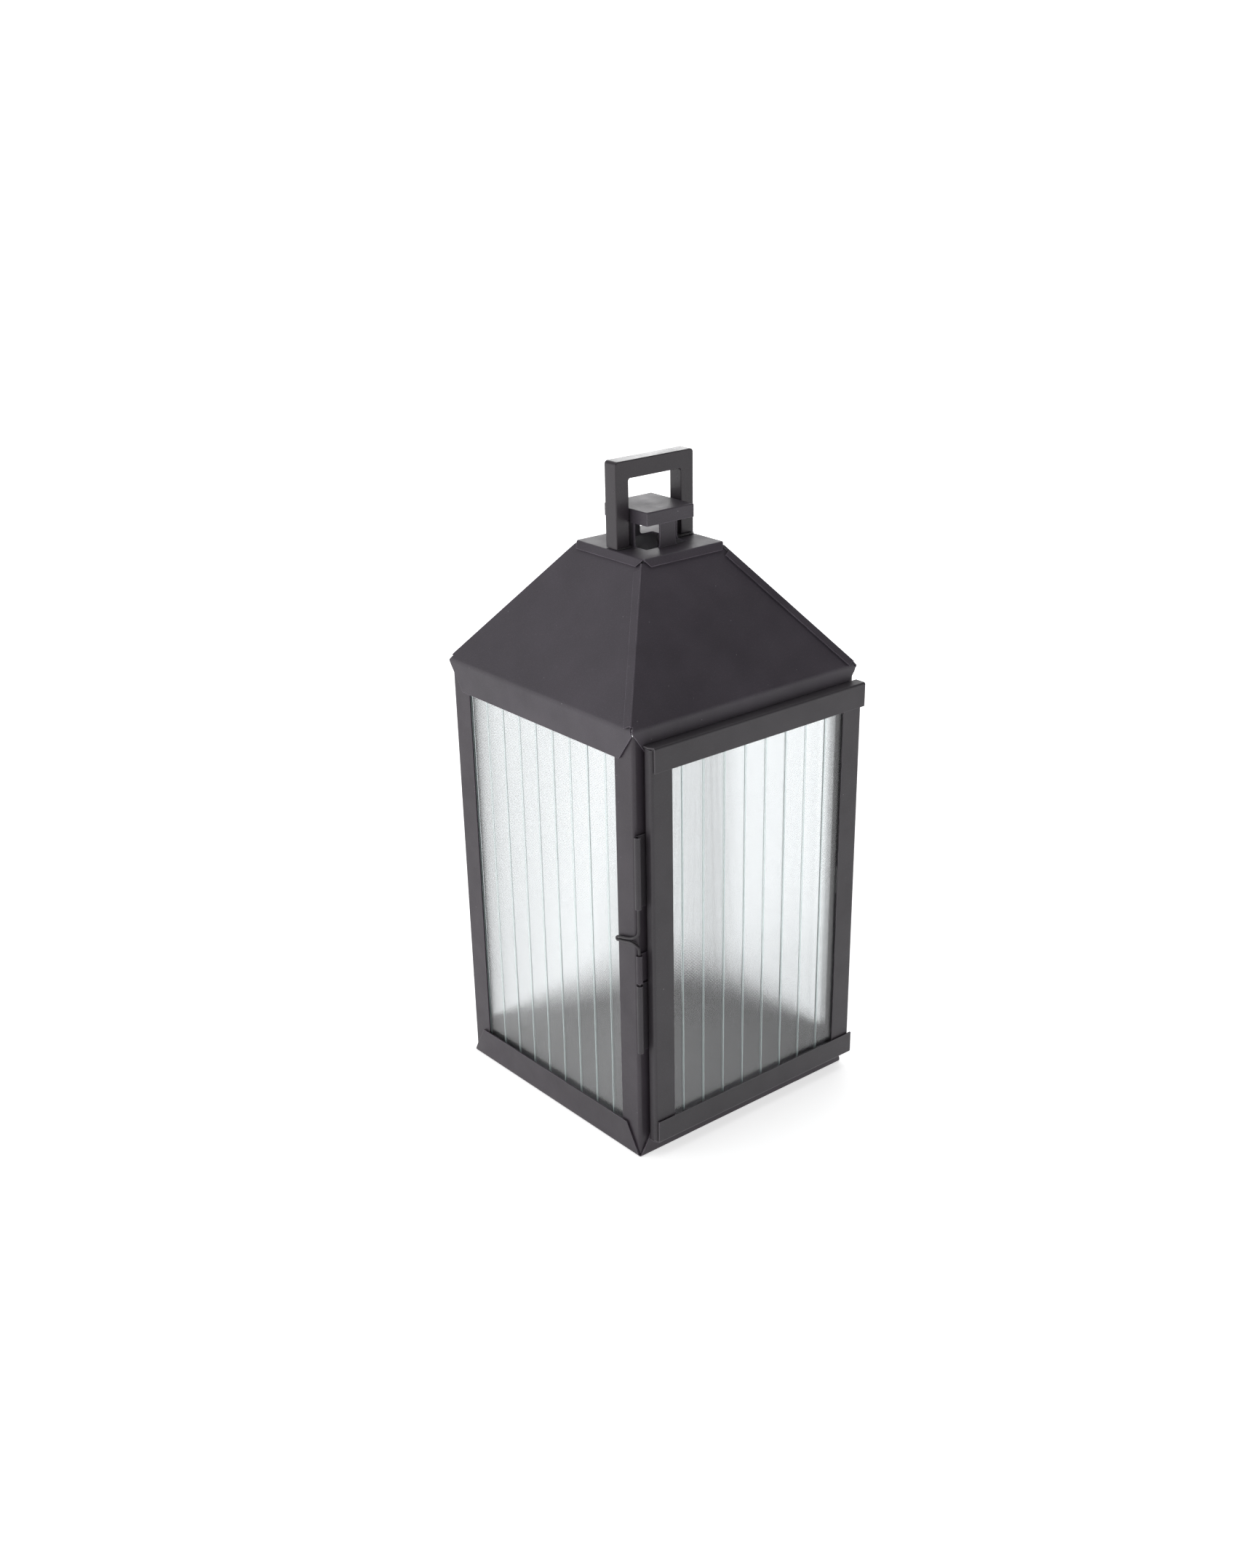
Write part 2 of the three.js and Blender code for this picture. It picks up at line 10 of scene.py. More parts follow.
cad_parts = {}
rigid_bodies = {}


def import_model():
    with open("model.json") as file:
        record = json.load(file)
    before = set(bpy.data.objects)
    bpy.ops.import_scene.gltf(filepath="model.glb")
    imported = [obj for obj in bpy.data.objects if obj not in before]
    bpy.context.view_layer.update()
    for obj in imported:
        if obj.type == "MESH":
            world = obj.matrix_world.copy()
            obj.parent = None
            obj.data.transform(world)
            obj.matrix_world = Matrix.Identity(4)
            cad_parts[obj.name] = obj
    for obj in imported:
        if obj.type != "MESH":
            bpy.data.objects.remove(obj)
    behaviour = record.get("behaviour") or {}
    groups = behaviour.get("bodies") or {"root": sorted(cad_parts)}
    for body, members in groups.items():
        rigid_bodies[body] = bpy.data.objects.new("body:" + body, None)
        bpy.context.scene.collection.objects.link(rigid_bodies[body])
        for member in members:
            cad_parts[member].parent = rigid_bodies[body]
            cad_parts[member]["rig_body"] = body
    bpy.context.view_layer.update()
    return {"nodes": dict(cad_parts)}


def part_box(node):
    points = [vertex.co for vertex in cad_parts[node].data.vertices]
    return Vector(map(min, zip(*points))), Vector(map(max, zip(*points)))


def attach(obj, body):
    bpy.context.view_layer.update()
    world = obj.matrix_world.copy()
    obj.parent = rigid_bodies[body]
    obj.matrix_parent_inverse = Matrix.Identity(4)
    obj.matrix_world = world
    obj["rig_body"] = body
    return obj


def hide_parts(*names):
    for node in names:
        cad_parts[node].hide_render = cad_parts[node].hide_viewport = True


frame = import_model()

MM = 0.001

# ---- driving values ---------------------------------------------------------------------------

# Camera: degrees, metres, and the lens in millimetres.
CAMERA_AZIMUTH = -40.01
CAMERA_ELEVATION = 26.43
CAMERA_ROLL = -0.77
CAMERA_DISTANCE = 1.0016
CAMERA_TARGET = Vector((0, 0, 0.0875))
CAMERA_LENS = 40.93
CAMERA_SHIFT = (-0.0173, 0.0869)
CAMERA_REACH = 50

# Sheet metal. Angles are in degrees.
SAME_POINT = 0.004 * MM  # vertices of a CAD mesh that are closer than this are one
FLAT_ANGLE = 0.6  # faces that meet at less than this are one flat face
BEND_ANGLE = 30  # edges sharper than this are rounded as cut edges
SMOOTH_ANGLE = 32  # edges sharper than this are shaded hard
SHEET_EDGE = 0.14 * MM  # radius on the cut edges of the sheet
HANDLE_EDGE = 0.12 * MM
LEAF_EDGE = 0.1 * MM
MAGNET_EDGE = 0.3 * MM
EDGE_SEGMENTS = 2

# Powder coat: colour, roughness, and how strong the speckle and the mottling are.
COATS = {
    "body": ((0.036, 0.029, 0.037), 0.46, 1.0, 1.0),
    # painted light: the roof's coat is set lighter than the body's, for how light falls on it
    "roof": ((0.047, 0.040, 0.050), 0.47, 1.2, 1.4),
    # painted shade: the door's coat is set darker than the body's, for how light falls on it
    "door": ((0.034, 0.030, 0.035), 0.45, 1.3, 1.0),
    "handle": ((0.027, 0.022, 0.027), 0.30, 0.8, 1.0),
    "wire": ((0.028, 0.024, 0.028), 0.42, 0.6, 0.8),
}
COAT_SHEEN = 0.42
PEEL = (620, 2.0, 0.5)  # noise: scale, detail and roughness
GRAIN = (2600, 3.0, 0.62)
CLOUD = (16, 3.0, 0.55)
DRIFT = (70, 4.0, 0.6)
MOTTLE_DEPTH = (0.12, 0.14)  # how much darker and lighter the mottling goes
MOTTLE_SPAN = (0.35, 0.65)  # cloud noise between the one and the other
FLECKS = ((0.58, 0.72), 0.5, 2.3, 0.008)  # span of the grain, strength, and the colour's factor and lift
PITS = ((0.40, 0.28), 0.45, 0.45, 0.0)
ROUGHNESS_SPAN = (0.3, 0.7)  # drift noise between the smoothest and the roughest
ROUGHNESS_SPREAD = (-0.05, 0.07)
BUMP_SHARES = (0.7, 0.55)  # of the peel and of the grain
COAT_BUMP = (0.16, 0.25 * MM)  # strength and distance
EDGE_WEAR_AND_HIGHLIGHT = 0.52 * MM  # how far the paler edge, partly wear and partly a painted highlight, reaches in from an edge
EDGE_MASK_SAMPLES = 6
WEAR_AND_HIGHLIGHT_SPAN = (0.36, 0.60)  # drift noise between the least and the most worn and highlighted edges
WEAR_AND_HIGHLIGHT_PATCHES = (0.35, 1.0)
WEAR_AND_HIGHLIGHT_STRENGTH = 0.9
WEAR_AND_HIGHLIGHT_TONE = (4.0, 0.03)  # the colour's factor and lift of the paler edge: partly wear, partly a painted highlight
WEAR_POLISH = 0.08  # how much smoother a worn edge is
EDGE_MASK_DOT = (0.985, 0.86)  # dot products of the two normals where the edge mask begins and is full
DUST_CELLS = 190  # to the metre
DUST_RADIUS = (0.05, 0.02)  # of a cell: where a speck ends and where it is full
DUST_LEFT_OUT = 0.62  # the share of the cells without a speck
DUST_STRENGTH = 0.8
DUST_COLOUR = (0.26, 0.25, 0.26, 1)

# Weld and nickel.
CLOUD_SPAN = (0.35, 0.65)  # noise between the smoothest and the roughest, in weld and in glass
WELD_COLOUR = (0.030, 0.028, 0.030)
WELD_HOLLOW_SHADE = 0.55  # the colour's factor in its hollows: painted shade
WELD_NOISE = (900, 3.0)
WELD_SPAN = (0.4, 0.65)  # noise between the painted hollow shade and the full colour
WELD_ROUGHNESS = (0.30, 0.48)
WELD_BUMP = (0.5, 0.3 * MM)
SCRATCH_NOISE = (2400, 3.0)
SCRATCH_STRETCH = (1, 1, 0.04)
NICKEL_TONES = ((0.42, 0.42, 0.43, 1), (0.58, 0.58, 0.57, 1))
NICKEL_SPAN = (0.3, 0.7)
NICKEL_ROUGHNESS = (0.24, 0.42)

# Glass.
RIB_PITCH = 14 * MM
RIB_WIDTH = 0.8 * MM
RIB_DEPTH = 0.3 * MM
RIB_PROFILE = ((-0.5, 0), (-0.22, 0.75), (0, 1), (0.22, 0.75), (0.5, 0))  # in widths and depths
RIB_CORE = (0.28, 0.48)  # in widths from its middle: where a rib's tint starts to fade and is gone
DOOR_RIB_PHASE = -49.2 * MM  # the place of one rib across the pane
SIDE_RIB_PHASE = 60.6 * MM
LOZENGE_PITCH = 1.1 * MM
LOZENGE_RISE = 0.62  # the slant of the fine texture
LOZENGE_DEPTH = 0.020 * MM
GLASS_TINTS = ((0.907, 0.923, 0.931, 1), (0.922, 0.935, 0.941, 1))
RIB_TINT = (0.66, 0.80, 0.79, 1)
CLEARNESS = (0.972, 0.5)  # the share of light let through, beside a rib and on it
GLASS_CLOUD = 160  # scale of the noise in its tint and roughness
GLASS_ROUGHNESS = (0.065, 0.10)
GLASS_IOR = 1.5
PANE_SMOOTH_ANGLE = 3  # keeps the grooves from tilting the flat face beside them

# Wire and weld. Places are in millimetres.
WIRE_SIDES = 14
WIRE_STEPS = 8  # from one given point to the next
WIRE_RADIUS = 0.72
HINGE_AT = (-74.7, -76.75)
WELD_SIDES = 10
WELD_STEPS = 7
WELD_LUMPS = ((0.10, 2.1, 0.0), (0.08, 0.9, 1.3))  # depth, step and phase of each wave of lumps
WELD_TIP = 0.45  # of the bead's radius
WELD_TAPER = 0.25  # how much of it each step adds
END_DOME = (0.25, 0.7)  # of a tube's radius: how far its end stands out, and how wide it is there
STRAIGHT = 1e-9  # two tangents with a shorter cross product than this are parallel
ROUND_SMOOTH_ANGLE = 60

# Floor.
FLOOR_SIZE = 30
FLOOR_DROP = 0.2 * MM
PAPER_GRAIN = 900
FLOOR_TONES = ((0.88, 0.88, 0.88, 1), (0.92, 0.92, 0.92, 1))
FLOOR_ROUGHNESS = 0.9
FLOOR_SHEEN = 0.1
FLOOR_GLOW = (0.66, 0.90)  # near the lantern and far off
FLOOR_REACH = (0.7, 3.0)

# Sky. Heights are those of a direction, as sines.
SKY_TINT = (0.985, 0.99, 1.0, 1)
HORIZON_GLOW = 1.15
CEILING_GLOW = 0.34
HORIZON_FADE = (0.10, 0.45)  # heights between which the one turns into the other
BRIGHT_SIDE = (-0.35, 0.937, 0)  # the sky is whole on this side, and dimmed across from it
SIDE_FADE = (-0.55, 0.15)  # dot products with it where the dimming is full and where it ends
FRONT_GLOW = 0.08  # what is left of the sky's light where the dimming is full
HORIZON_BAND = (0.20, 0.32)  # heights over which the dimming sets in

# Soft boxes: place, size, watts and aim.
BODY_CENTRE = (0, 0, 0.17)
HANDLE_TOP = (0, 0, 0.346)
SOFT_BOXES = {
    "overhead": ((0.2, 0.3, 2.4), (2.6, 2.6), 22, BODY_CENTRE),
    "left": ((-2.3, 0.7, 1.0), (2.2, 1.8), 18, BODY_CENTRE),
    "back": ((1.5, 1.9, 1.25), (2.4, 1.2), 11, BODY_CENTRE),
    "rim": ((1.29, 1.53, 0.79), (0.5, 0.4), 1.5, HANDLE_TOP),
}


# ---- camera -----------------------------------------------------------------------------------


def make_camera():
    azimuth = math.radians(CAMERA_AZIMUTH)
    elevation = math.radians(CAMERA_ELEVATION)
    back = Vector(
        (
            math.sin(azimuth) * math.cos(elevation),
            -math.cos(azimuth) * math.cos(elevation),
            math.sin(elevation),
        )
    )
    data = bpy.data.cameras.new("camera")
    data.lens = CAMERA_LENS
    data.shift_x, data.shift_y = CAMERA_SHIFT
    data.clip_end = CAMERA_REACH
    camera = bpy.data.objects.new("camera", data)
    bpy.context.scene.collection.objects.link(camera)
    turn = (-back).to_track_quat("-Z", "Y").to_matrix()
    roll = Matrix.Rotation(math.radians(CAMERA_ROLL), 3, "Z")
    place = Matrix.Translation(CAMERA_TARGET + back * CAMERA_DISTANCE)
    camera.matrix_world = place @ (turn @ roll).to_4x4()
    bpy.context.scene.camera = camera


make_camera()


# ---- node helpers -----------------------------------------------------------------------------


def new_material(name):
    material = bpy.data.materials.new(name)
    material.use_nodes = True
    tree = material.node_tree
    tree.nodes.clear()
    output = tree.nodes.new("ShaderNodeOutputMaterial")
    shader = tree.nodes.new("ShaderNodeBsdfPrincipled")
    tree.links.new(shader.outputs["BSDF"], output.inputs["Surface"])
    return material, tree, shader


def feed(tree, socket, value):
    """Links a socket's value in, or sets a plain one."""
    if isinstance(value, bpy.types.NodeSocket):
        tree.links.new(value, socket)
    else:
        socket.default_value = value


def add(tree, kind, inputs=None, **settings):
    node = tree.nodes.new(kind)
    for key, value in settings.items():
        setattr(node, key, value)
    for key, value in (inputs or {}).items():
        feed(tree, node.inputs[key], value)
    return node


def object_place(tree):
    return add(tree, "ShaderNodeTexCoord").outputs["Object"]


def noise(tree, where, scale, detail=2.0, roughness=0.5):
    inputs = {"Vector": where, "Scale": scale, "Detail": detail, "Roughness": roughness}
    return add(tree, "ShaderNodeTexNoise", inputs).outputs["Fac"]


def remap(tree, value, source, target, smooth=False):
    """Takes the range source to the range target, and stops at its ends."""
    inputs = {
        "Value": value,
        "From Min": source[0],
        "From Max": source[1],
        "To Min": target[0],
        "To Max": target[1],
    }
    kind = "SMOOTHSTEP" if smooth else "LINEAR"
    return add(tree, "ShaderNodeMapRange", inputs, interpolation_type=kind).outputs["Result"]


def mix_colour(tree, factor, a, b):
    return add(tree, "ShaderNodeMix", {0: factor, 6: a, 7: b}, data_type="RGBA").outputs[2]


def maths(tree, operation, a, b=0.0):
    return add(tree, "ShaderNodeMath", {0: a, 1: b}, operation=operation).outputs[0]


def set_bump(tree, shader, height, strength, distance):
    bump = add(tree, "ShaderNodeBump", {"Strength": strength, "Distance": distance, "Height": height})
    tree.links.new(bump.outputs["Normal"], shader.inputs["Normal"])


def tone(colour, factor=1.0, lift=0.0):
    return [c * factor + lift for c in colour] + [1]


# ---- materials --------------------------------------------------------------------------------


def powder_coat(name, colour, rough, speckle, mottle):
    """Satin charcoal powder coat: orange peel, speckle, faint mottling, and edges paled by wear and a
    painted highlight.
    """
    material, tree, shader = new_material(name)
    where = object_place(tree)
    peel = noise(tree, where, *PEEL)
    grain = noise(tree, where, *GRAIN)
    cloud = noise(tree, where, *CLOUD)
    drift = noise(tree, where, *DRIFT)

    darker = tone(colour, 1 - MOTTLE_DEPTH[0] * mottle)
    lighter = tone(colour, 1 + MOTTLE_DEPTH[1] * mottle)
    base = mix_colour(tree, remap(tree, cloud, MOTTLE_SPAN, (0, 1)), darker, lighter)
    for span, strength, factor, lift in (FLECKS, PITS):
        specks = remap(tree, grain, span, (0, strength * speckle))
        base = mix_colour(tree, specks, base, tone(colour, factor, lift))
    base = mix_colour(tree, dust_specks(tree, where, DUST_STRENGTH * speckle), base, DUST_COLOUR)

    # the sharp edges are paled partly as wear and partly as a painted highlight
    worn_and_highlit_edge = edge_mask(tree, EDGE_WEAR_AND_HIGHLIGHT)
    patchy_wear_and_highlight = maths(tree, "MULTIPLY", worn_and_highlit_edge, remap(tree, drift, WEAR_AND_HIGHLIGHT_SPAN, WEAR_AND_HIGHLIGHT_PATCHES))
    wear_and_highlight_amount = maths(tree, "MULTIPLY", patchy_wear_and_highlight, WEAR_AND_HIGHLIGHT_STRENGTH)
    base = mix_colour(tree, wear_and_highlight_amount, base, tone(colour, *WEAR_AND_HIGHLIGHT_TONE))
    tree.links.new(base, shader.inputs["Base Color"])

    unworn = remap(tree, drift, ROUGHNESS_SPAN, [rough + change for change in ROUGHNESS_SPREAD])
    roughness = maths(tree, "SUBTRACT", unworn, maths(tree, "MULTIPLY", patchy_wear_and_highlight, WEAR_POLISH))
    tree.links.new(roughness, shader.inputs["Roughness"])

    peel_height = maths(tree, "MULTIPLY", peel, BUMP_SHARES[0])
    grain_height = maths(tree, "MULTIPLY", grain, BUMP_SHARES[1])
    set_bump(tree, shader, maths(tree, "ADD", peel_height, grain_height), *COAT_BUMP)
    shader.inputs["Specular IOR Level"].default_value = COAT_SHEEN
    return material


def dust_specks(tree, where, amount):
    """The amount on a few scattered specks, a few tenths of a millimetre across, and 0 elsewhere."""
    cells = add(tree, "ShaderNodeTexVoronoi", {"Vector": where, "Scale": DUST_CELLS})
    draw = add(tree, "ShaderNodeSeparateColor", {0: cells.outputs["Color"]}).outputs[0]
    near = remap(tree, cells.outputs["Distance"], DUST_RADIUS, (0, amount))
    return maths(tree, "MULTIPLY", near, maths(tree, "GREATER_THAN", draw, DUST_LEFT_OUT))


def edge_mask(tree, radius):
    """1 on sharp edges and 0 on faces, from the difference between the rounded and the true normal."""
    rounded = add(tree, "ShaderNodeBevel", {"Radius": radius}, samples=EDGE_MASK_SAMPLES).outputs["Normal"]
    true = add(tree, "ShaderNodeNewGeometry").outputs["Normal"]
    dot = add(tree, "ShaderNodeVectorMath", {0: rounded, 1: true}, operation="DOT_PRODUCT").outputs["Value"]
    return remap(tree, dot, EDGE_MASK_DOT, (0, 1))


def weld_metal(name, colour):
    """The coat where it lies thick and glossy over a weld bead, with painted shade in its hollows."""
    material, tree, shader = new_material(name)
    lumps = noise(tree, object_place(tree), *WELD_NOISE)
    raised = remap(tree, lumps, WELD_SPAN, (0, 1))
    # painted shade: the colour darkens in the hollows of the bumps
    shades = mix_colour(tree, raised, tone(colour, WELD_HOLLOW_SHADE), tone(colour))
    tree.links.new(shades, shader.inputs["Base Color"])
    tree.links.new(remap(tree, lumps, CLOUD_SPAN, WELD_ROUGHNESS), shader.inputs["Roughness"])
    set_bump(tree, shader, lumps, *WELD_BUMP)
    return material


def ribbed_glass(name, across, phase):
    """Clear, slightly hazy glass with a fine pressed lozenge texture, greener and cloudier along its
    ribs. across is the object axis along the pane's width."""
    material, tree, shader = new_material(name)
    where = object_place(tree)
    parts = add(tree, "ShaderNodeSeparateXYZ", {0: where})
    along = maths(tree, "MULTIPLY", parts.outputs[across], 2 * math.pi / LOZENGE_PITCH)
    up = maths(tree, "MULTIPLY", parts.outputs["Z"], 2 * math.pi / LOZENGE_PITCH * LOZENGE_RISE)
    one = maths(tree, "SINE", maths(tree, "ADD", along, up))
    other = maths(tree, "SINE", maths(tree, "SUBTRACT", along, up))
    set_bump(tree, shader, maths(tree, "MULTIPLY", one, other), 1.0, LOZENGE_DEPTH)

    from_first_rib = maths(tree, "SUBTRACT", parts.outputs[across], phase)
    to_rib = maths(tree, "PINGPONG", from_first_rib, RIB_PITCH / 2)
    rib = remap(tree, to_rib, [RIB_WIDTH * share for share in RIB_CORE], (1, 0))
    cloud = noise(tree, where, GLASS_CLOUD)
    tint = mix_colour(tree, cloud, *GLASS_TINTS)
    tint = mix_colour(tree, rib, tint, RIB_TINT)
    tree.links.new(tint, shader.inputs["Base Color"])
    tree.links.new(remap(tree, rib, (0, 1), CLEARNESS), shader.inputs["Transmission Weight"])
    tree.links.new(remap(tree, cloud, CLOUD_SPAN, GLASS_ROUGHNESS), shader.inputs["Roughness"])
    shader.inputs["IOR"].default_value = GLASS_IOR
    return material


def nickel(name):
    """Bright nickel plate with fine scratches up and down."""
    material, tree, shader = new_material(name)
    stretched = add(tree, "ShaderNodeMapping", {"Vector": object_place(tree), "Scale": SCRATCH_STRETCH})
    scratches = noise(tree, stretched.outputs[0], *SCRATCH_NOISE)
    shades = mix_colour(tree, scratches, *NICKEL_TONES)
    tree.links.new(shades, shader.inputs["Base Color"])
    tree.links.new(remap(tree, scratches, NICKEL_SPAN, NICKEL_ROUGHNESS), shader.inputs["Roughness"])
    shader.inputs["Metallic"].default_value = 1.0
    return material


# A material for each of the record's metal slots, and those of the weld and the glass.
FINISHES = {slot: powder_coat(f"coat_{slot}", *values) for slot, values in COATS.items()}
WELD = weld_metal("coat_weld", WELD_COLOUR)
GLASS_DOOR = ribbed_glass("glass_across_x", "X", DOOR_RIB_PHASE)
GLASS_SIDE = ribbed_glass("glass_across_y", "Y", SIDE_RIB_PHASE)
FINISHES["magnet"] = nickel("nickel_plate")


# ---- mesh helpers -----------------------------------------------------------------------------


def piece_from(name, bm, material, body, replaces, smooth_angle=SMOOTH_ANGLE):
    """A finished piece out of a bmesh: shaded, riding on its body, and in place of its CAD nodes."""
    mesh = bpy.data.meshes.new(name)
    bmesh.ops.recalc_face_normals(bm, faces=bm.faces)
    bm.to_mesh(mesh)
    bm.free()
    mesh.materials.append(material)
    piece = bpy.data.objects.new(name, mesh)
    bpy.context.scene.collection.objects.link(piece)
    shade(piece, smooth_angle)
    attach(piece, body)
    if replaces:
        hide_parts(*replaces)


def shade(piece, angle):
    """Smooth shading with hard edges above the angle. At a soft edge the larger face sets the normal,
    so that flat sheet stays flat up to its bends."""
    mesh = piece.data
    mesh.shade_smooth()
    bm = bmesh.new()
    bm.from_mesh(mesh)
    limit = math.radians(angle)
    for edge in bm.edges:
        edge.smooth = len(edge.link_faces) == 2 and edge.calc_face_angle(math.pi) < limit
    corners = {}
    for vert in bm.verts:
        for group in smooth_groups(vert):
            normal = sum((face.normal * face.calc_area() for face in group), Vector())
            for face in group:
                corners[face.index, vert.index] = normal.normalized()
    bm.to_mesh(mesh)
    bm.free()
    normals = []
    for face in mesh.polygons:
        for vert in face.vertices:
            normals.append(corners[face.index, vert])
    mesh.normals_split_custom_set(normals)


def smooth_groups(vert):
    """The faces round a vertex, parted at its hard edges."""
    left = set(vert.link_faces)
    groups = []
    while left:
        group = [left.pop()]
        for face in group:
            for edge in face.edges:
                if vert in edge.verts and edge.smooth:
                    for other in edge.link_faces:
                        if other in left:
                            left.remove(other)
                            group.append(other)
        groups.append(group)
    return groups


def cad_mesh(node):
    """A copy of a CAD node's mesh, welded and freed of the lines inside its flat faces."""
    bm = bmesh.new()
    bm.from_mesh(frame["nodes"][node].data)
    bmesh.ops.remove_doubles(bm, verts=bm.verts, dist=SAME_POINT)
    bmesh.ops.dissolve_limit(
        bm,
        angle_limit=math.radians(FLAT_ANGLE),
        use_dissolve_boundaries=False,
        verts=bm.verts,
        edges=bm.edges,
        delimit=set(),
    )
    return bm


def round_edges(bm, width):
    """Rounds the edges that are sharper than a gentle bend."""
    limit = math.radians(BEND_ANGLE)
    sharp = [e for e in bm.edges if len(e.link_faces) == 2 and e.calc_face_angle(0) > limit]
    bmesh.ops.bevel(
        bm,
        geom=sharp,
        offset=width,
        offset_type="OFFSET",
        segments=EDGE_SEGMENTS,
        profile=0.5,
        affect="EDGES",
        clamp_overlap=True,
        miter_outer="ARC",
    )


def refine(node, slot, width=SHEET_EDGE):
    """Stands a finer piece in for a CAD sheet: the same folds, with its cut edges rounded."""
    bm = cad_mesh(node)
    round_edges(bm, width)
    body = frame["nodes"][node]["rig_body"]
    piece_from(f"{node}_fine", bm, FINISHES[slot], body, (node,))


# ---- glass ------------------------------------------------------------------------------------


def ribbed_pane(node, material, across, inside, phase):
    """A pane with narrow grooves pressed into its inside face. across is the index of the axis along
    its width, and inside is 1 or -1, the way its inside face looks along the other one."""
    low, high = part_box(node)
    through = 1 - across
    start, end = low[across], high[across]
    face_in, face_out = low[through], high[through]
    if inside > 0:
        face_in, face_out = face_out, face_in
    first = math.ceil((start - phase) / RIB_PITCH)
    last = math.floor((end - phase) / RIB_PITCH)
    section = [(start, face_in)]
    for k in range(first, last + 1):
        centre = phase + k * RIB_PITCH
        if start + RIB_WIDTH < centre < end - RIB_WIDTH:
            for widths, depths in RIB_PROFILE:
                section.append((centre + widths * RIB_WIDTH, face_in - inside * depths * RIB_DEPTH))
    section += [(end, face_in), (end, face_out), (start, face_out)]
    bm = bmesh.new()
    rings = []
    for z in (low[2], high[2]):
        ring = []
        for place, depth in section:
            at = [0, 0, z]
            at[across], at[through] = place, depth
            ring.append(bm.verts.new(at))
        rings.append(ring)
    count = len(section)
    for i in range(count):
        j = (i + 1) % count
        bm.faces.new((rings[0][i], rings[0][j], rings[1][j], rings[1][i]))
    bm.faces.new(rings[0])
    bm.faces.new(rings[1])
    body = frame["nodes"][node]["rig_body"]
    piece_from(f"{node}_ribbed", bm, material, body, (node,), PANE_SMOOTH_ANGLE)


# ---- wire and tubes ---------------------------------------------------------------------------


def smooth_path(points, steps):
    """Points along a centripetal Catmull-Rom curve through the given ones."""
    line = [2 * points[0] - points[1], *points, 2 * points[-1] - points[-2]]
    out = []
    for i in range(1, len(line) - 2):
        p0, p1, p2, p3 = line[i - 1 : i + 3]
        t0 = 0.0
        t1 = t0 + math.sqrt((p1 - p0).length)
        t2 = t1 + math.sqrt((p2 - p1).length)
        t3 = t2 + math.sqrt((p3 - p2).length)
        for k in range(steps):
            t = t1 + (t2 - t1) * k / steps
            a1 = p0 * ((t1 - t) / (t1 - t0)) + p1 * ((t - t0) / (t1 - t0))
            a2 = p1 * ((t2 - t) / (t2 - t1)) + p2 * ((t - t1) / (t2 - t1))
            a3 = p2 * ((t3 - t) / (t3 - t2)) + p3 * ((t - t2) / (t3 - t2))
            b1 = a1 * ((t2 - t) / (t2 - t0)) + a2 * ((t - t0) / (t2 - t0))
            b2 = a2 * ((t3 - t) / (t3 - t1)) + a3 * ((t - t1) / (t3 - t1))
            out.append(b1 * ((t2 - t) / (t2 - t1)) + b2 * ((t - t1) / (t2 - t1)))
    out.append(points[-1])
    return out


def ring_of(bm, at, tangent, across, radius, sides):
    other = tangent.cross(across)
    ring = []
    for s in range(sides):
        angle = 2 * math.pi * s / sides
        ring.append(bm.verts.new(at + (across * math.cos(angle) + other * math.sin(angle)) * radius))
    return ring


def tube(bm, path, radii, sides):
    """A closed round tube along a path, one radius for each of its points, with slightly domed ends."""
    tangents = []
    for i in range(len(path)):
        before = path[max(i - 1, 0)]
        after = path[min(i + 1, len(path) - 1)]
        tangents.append((after - before).normalized())
    across = tangents[0].orthogonal().normalized()
    stand_out, end_width = END_DOME
    first_end = path[0] - tangents[0] * radii[0] * stand_out
    rings = [ring_of(bm, first_end, tangents[0], across, radii[0] * end_width, sides)]
    for i, at in enumerate(path):
        if i:
            axis = tangents[i - 1].cross(tangents[i])
            if axis.length > STRAIGHT:
                across = Matrix.Rotation(tangents[i - 1].angle(tangents[i]), 3, axis.normalized()) @ across
        rings.append(ring_of(bm, at, tangents[i], across, radii[i], sides))
    last_end = path[-1] + tangents[-1] * radii[-1] * stand_out
    rings.append(ring_of(bm, last_end, tangents[-1], across, radii[-1] * end_width, sides))
    for r0, r1 in zip(rings, rings[1:]):
        for s in range(sides):
            n = (s + 1) % sides
            bm.faces.new((r0[s], r0[n], r1[n], r1[s]))
    bm.faces.new(rings[0])
    bm.faces.new(list(reversed(rings[-1])))


